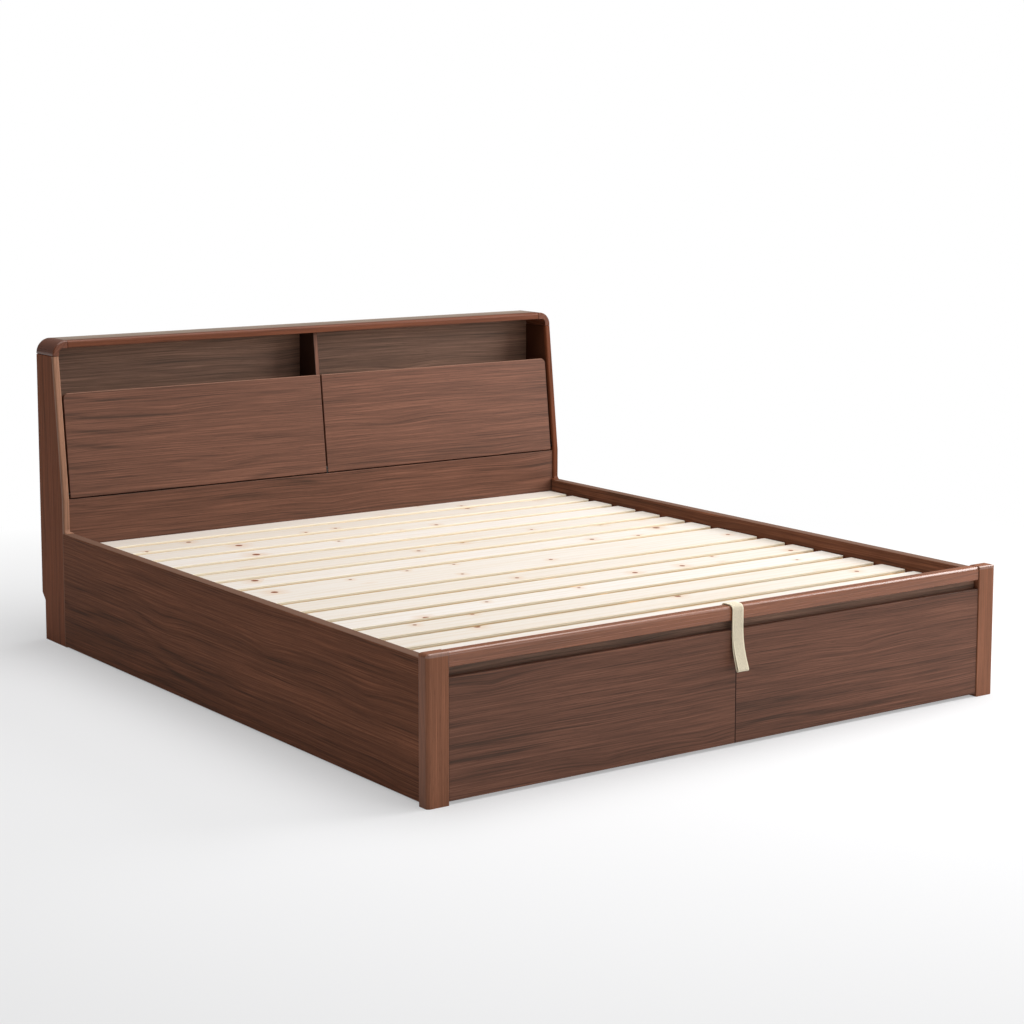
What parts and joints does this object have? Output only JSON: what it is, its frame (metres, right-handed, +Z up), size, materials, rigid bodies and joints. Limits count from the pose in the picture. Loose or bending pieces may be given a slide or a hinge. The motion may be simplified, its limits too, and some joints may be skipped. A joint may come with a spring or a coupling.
{
  "type": "storage platform bed",
  "caption": "Low wooden double bed: slatted base that lifts from the foot on gas struts over a storage box, and a leaning headboard with a niche above flap doors.",
  "frame": {"origin": "on the floor, under the middle of the bed's bounding box, the pull strap included", "axes": "+X to the bed's right as seen from its foot, +Y towards the headboard, +Z up"},
  "size_m": [1.9, 2.2186, 0.936],
  "materials": {
    "walnut_solid": "satin lacquered solid walnut, reddish brown",
    "walnut_front": "satin lacquered walnut veneer with dark bands",
    "walnut_side": "satin lacquered dark walnut veneer",
    "walnut_dark": "matt dark walnut veneer",
    "walnut_top": "satin lacquered walnut veneer, seen in sheen",
    "pine": "bare planed pine with a few knots",
    "bare_wood": "bare softwood",
    "board_grey": "matt faced board",
    "black_steel": "black powder coat",
    "zinc": "zinc plated steel",
    "bolt_steel": "blackened steel",
    "chrome": "hard chrome",
    "webbing": "flat woven webbing"
  },
  "bodies": {
    "bed_frame": {"foot_post_left": "walnut_solid", "foot_post_right": "walnut_solid", "foot_panel_left": "walnut_front", "foot_panel_right": "walnut_front", "foot_inner_board": "walnut_dark", "foot_rail": "walnut_solid", "side_panel_left": "walnut_side", "side_panel_right": "walnut_side", "side_ledger_left": "bare_wood", "side_ledger_right": "bare_wood", "headboard_side_left": "walnut_side", "headboard_side_right": "walnut_side", "headboard_strip_left": "walnut_solid", "headboard_strip_right": "walnut_solid", "headboard_corner_left": "walnut_solid", "headboard_corner_right": "walnut_solid", "headboard_top": "walnut_top", "headboard_lip": "walnut_solid", "headboard_divider_upper": "walnut_front", "headboard_divider_lower": "walnut_dark", "headboard_shelf": "walnut_dark", "headboard_floor": "walnut_dark", "headboard_front_panel": "walnut_front", "headboard_back_panel": "walnut_dark", "headboard_rear_rail": "board_grey", "centre_board": "board_grey", "storage_floor_left": "board_grey", "storage_floor_right": "board_grey", "floor_bearers": "bare_wood", "corner_brackets": "zinc", "bracket_bolts": "bolt_steel", "lift_base_left": "black_steel", "lift_base_right": "black_steel", "lift_base_bolts": "zinc", "door_pivots": "zinc"},
    "platform": {"lift_tube_left": "black_steel", "lift_tube_right": "black_steel", "lift_tube_foot": "black_steel", "lift_tube_head": "black_steel", "lift_tube_centre": "black_steel", "lift_tube_middle": "black_steel", "lift_arm_left": "black_steel", "lift_arm_right": "black_steel", "lift_arm_bolts": "zinc", "slat_battens_left": "bare_wood", "slat_battens_centre": "bare_wood", "slat_battens_right": "bare_wood", "slats_foot": "pine", "slats_head": "pine", "strap": "webbing", "strap_clamp": "zinc"},
    "strut_body_left": {"strut_cylinder_left": "black_steel"},
    "strut_body_right": {"strut_cylinder_right": "black_steel"},
    "strut_piston_left": {"strut_rod_left": "chrome"},
    "strut_piston_right": {"strut_rod_right": "chrome"},
    "left_door": {"door_left": "walnut_front"},
    "right_door": {"door_right": "walnut_front"}
  },
  "joints": [
    {"name": "platform_lift", "type": "hinge", "parent": "bed_frame", "child": "platform", "pos_m": [0.889, 0.76025, 0.286], "axis": [-1, 0, 0], "range_deg": [0, 42]},
    {"name": "strut_foot_left", "type": "hinge", "parent": "bed_frame", "child": "strut_body_left", "pos_m": [-0.889, 0.62604, 0.063], "axis": [-1, 0, 0], "range_deg": [0, 21]},
    {"name": "strut_foot_right", "type": "hinge", "parent": "bed_frame", "child": "strut_body_right", "pos_m": [0.889, 0.62604, 0.063], "axis": [-1, 0, 0], "range_deg": [0, 21]},
    {"name": "strut_head_left", "type": "hinge", "parent": "platform", "child": "strut_piston_left", "pos_m": [-0.889, 0.50095, 0.2635], "axis": [-1, 0, 0], "range_deg": [-21, 0]},
    {"name": "strut_head_right", "type": "hinge", "parent": "platform", "child": "strut_piston_right", "pos_m": [0.889, 0.50095, 0.2635], "axis": [-1, 0, 0], "range_deg": [-21, 0]},
    {"name": "door_left_hinge", "type": "hinge", "parent": "bed_frame", "child": "left_door", "pos_m": [-0.4554, 0.95407, 0.47164], "axis": [1, 0, 0], "range_deg": [0, 96.7]},
    {"name": "door_right_hinge", "type": "hinge", "parent": "bed_frame", "child": "right_door", "pos_m": [0.4554, 0.95407, 0.47164], "axis": [1, 0, 0], "range_deg": [0, 96.7]}
  ],
  "couplings": [
    {"joint": "strut_foot_left", "follows": "platform_lift", "ratio": 0.5},
    {"joint": "strut_foot_right", "follows": "platform_lift", "ratio": 0.5},
    {"joint": "strut_head_left", "follows": "platform_lift", "ratio": -0.5},
    {"joint": "strut_head_right", "follows": "platform_lift", "ratio": -0.5}
  ]
}
